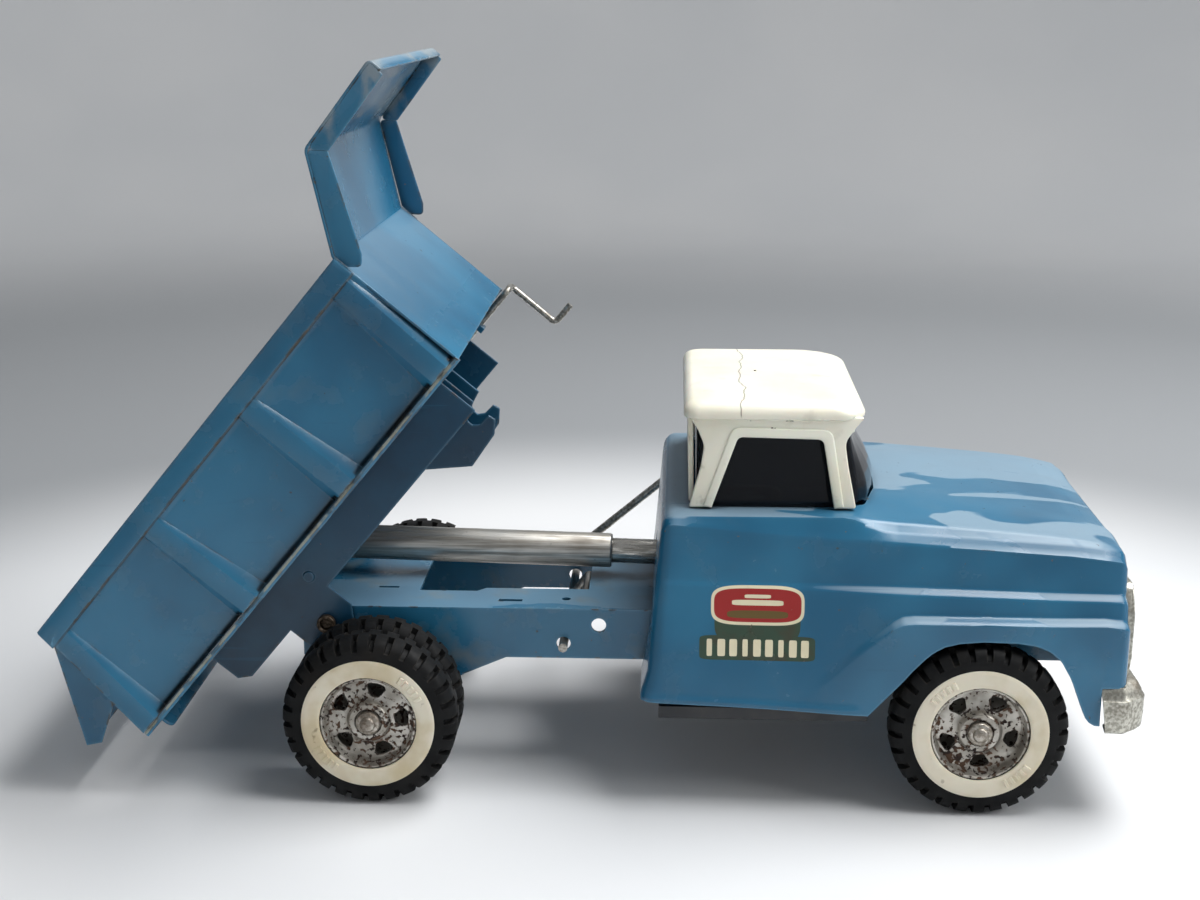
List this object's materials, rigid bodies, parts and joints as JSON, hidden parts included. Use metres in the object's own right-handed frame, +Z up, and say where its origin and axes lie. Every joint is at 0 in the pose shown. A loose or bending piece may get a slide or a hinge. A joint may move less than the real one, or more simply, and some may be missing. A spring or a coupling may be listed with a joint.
{
  "type": "toy dump truck",
  "caption": "Pressed-steel toy dump truck with tipping ribbed bed, cab visor, hanging tailgate, damping cylinder, latch lever and dual rear wheels.",
  "frame": {"origin": "on the ground, at the middle of the length and width, with the bed raised", "axes": "+X forward, +Y to the truck's left, +Z up"},
  "size_m": [0.3749, 0.1525, 0.2502],
  "materials": {
    "cab_paint": "gloss enamel",
    "frame_paint": "gloss enamel",
    "bed_paint": "gloss enamel, worn at the edges",
    "roof_plastic": "satin",
    "glazing": "clear, smoky",
    "pan_paint": "satin black",
    "plating": "dull plating",
    "steel": "bare, some rust",
    "rod_steel": "bare, dark",
    "cylinder_steel": "drawn tube",
    "seal_rubber": "matt",
    "tyre_rubber": "matt, dusty",
    "whitewall": "aged white",
    "rim_steel": "plated, rust specks",
    "hub_cap": "dull"
  },
  "bodies": {
    "chassis": {"chassis_frame": "frame_paint", "cab_body": "cab_paint", "cab_roof": "roof_plastic", "cab_glazing": "glazing", "floor_pan": "pan_paint", "grille": "plating", "front_bumper": "plating", "front_axle": "steel", "rear_axle": "steel", "bed_pivot_rod": "steel", "pivot_rod_caps": "steel", "rod_anchor_bracket": "frame_paint", "rod_anchor_pin": "steel"},
    "bed": {"bed_box": "bed_paint", "bed_front_panel": "bed_paint", "bed_subframe": "bed_paint", "bed_hook_bracket": "bed_paint", "latch_rod_clips": "bed_paint", "cylinder_rear_pin": "steel", "tailgate_hinge_pins": "steel"},
    "tailgate": {"tailgate": "bed_paint"},
    "tailgate_rod": {"tailgate_latch_rod": "rod_steel"},
    "piston": {"piston_rod": "cylinder_steel", "piston_head": "cylinder_steel", "piston_seal": "seal_rubber"},
    "cylinder": {"cylinder_tube": "cylinder_steel", "cylinder_gland": "cylinder_steel", "cylinder_end_cap": "cylinder_steel"},
    "latch_lever": {"bed_latch_lever": "rod_steel"},
    "front_left_wheel": {"front_left_tyre": "tyre_rubber", "front_left_whitewall": "whitewall", "front_left_rim": "rim_steel", "front_left_hub_cap": "hub_cap"},
    "rear_left_outer_wheel": {"rear_left_outer_tyre": "tyre_rubber", "rear_left_outer_whitewall": "whitewall", "rear_left_outer_rim": "rim_steel", "rear_left_outer_hub_cap": "hub_cap"},
    "rear_left_inner_wheel": {"rear_left_inner_tyre": "tyre_rubber", "rear_left_inner_rim": "rim_steel"},
    "front_right_wheel": {"front_right_tyre": "tyre_rubber", "front_right_whitewall": "whitewall", "front_right_rim": "rim_steel", "front_right_hub_cap": "hub_cap"},
    "rear_right_outer_wheel": {"rear_right_outer_tyre": "tyre_rubber", "rear_right_outer_whitewall": "whitewall", "rear_right_outer_rim": "rim_steel", "rear_right_outer_hub_cap": "hub_cap"},
    "rear_right_inner_wheel": {"rear_right_inner_tyre": "tyre_rubber", "rear_right_inner_rim": "rim_steel"}
  },
  "joints": [
    {"name": "bed_tilt", "type": "hinge", "parent": "chassis", "child": "bed", "pos_m": [-0.095, 0, 0.0542], "axis": [0, -1, 0], "range_deg": [-50.3, 0]},
    {"name": "tailgate_swing", "type": "hinge", "parent": "bed", "child": "tailgate", "pos_m": [-0.18144, 0, 0.05967], "axis": [0, 1, 0], "range_deg": [-30.6, 60]},
    {"name": "tailgate_rod_turn", "type": "hinge", "parent": "bed", "child": "tailgate_rod", "pos_m": [-0.11216, 0.062, 0.06845], "axis": [0.6388, 0, 0.7694], "range_deg": [0, 75]},
    {"name": "rod_swing", "type": "hinge", "parent": "chassis", "child": "piston", "pos_m": [0.036, 0, 0.0688], "axis": [0, -1, 0], "range_deg": [0, 0.657]},
    {"name": "cylinder_stroke", "type": "slide", "parent": "piston", "child": "cylinder", "axis": [-0.9997, 0, 0.0234], "range_m": [-0.01533, 0]},
    {"name": "latch_lever_turn", "type": "hinge", "parent": "chassis", "child": "latch_lever", "pos_m": [-0.011, 0, 0.047], "axis": [0, 1, 0], "range_deg": [-35, 12]},
    {"name": "front_left_spin", "type": "hinge", "parent": "chassis", "child": "front_left_wheel", "pos_m": [0.131, 0.0655, 0.03], "axis": [0, 1, 0], "continuous": true},
    {"name": "rear_left_outer_spin", "type": "hinge", "parent": "chassis", "child": "rear_left_outer_wheel", "pos_m": [-0.0756, 0.0655, 0.03], "axis": [0, 1, 0], "continuous": true},
    {"name": "rear_left_inner_spin", "type": "hinge", "parent": "chassis", "child": "rear_left_inner_wheel", "pos_m": [-0.0756, 0.05035, 0.03], "axis": [0, 1, 0], "continuous": true},
    {"name": "front_right_spin", "type": "hinge", "parent": "chassis", "child": "front_right_wheel", "pos_m": [0.131, -0.0655, 0.03], "axis": [0, 1, 0], "continuous": true},
    {"name": "rear_right_outer_spin", "type": "hinge", "parent": "chassis", "child": "rear_right_outer_wheel", "pos_m": [-0.0756, -0.0655, 0.03], "axis": [0, 1, 0], "continuous": true},
    {"name": "rear_right_inner_spin", "type": "hinge", "parent": "chassis", "child": "rear_right_inner_wheel", "pos_m": [-0.0756, -0.05035, 0.03], "axis": [0, 1, 0], "continuous": true}
  ],
  "couplings": [
    {"joint": "rod_swing", "follows": "bed_tilt", "ratio": -0.012062},
    {"joint": "cylinder_stroke", "follows": "bed_tilt", "m_per_rad": 0.017229}
  ]
}
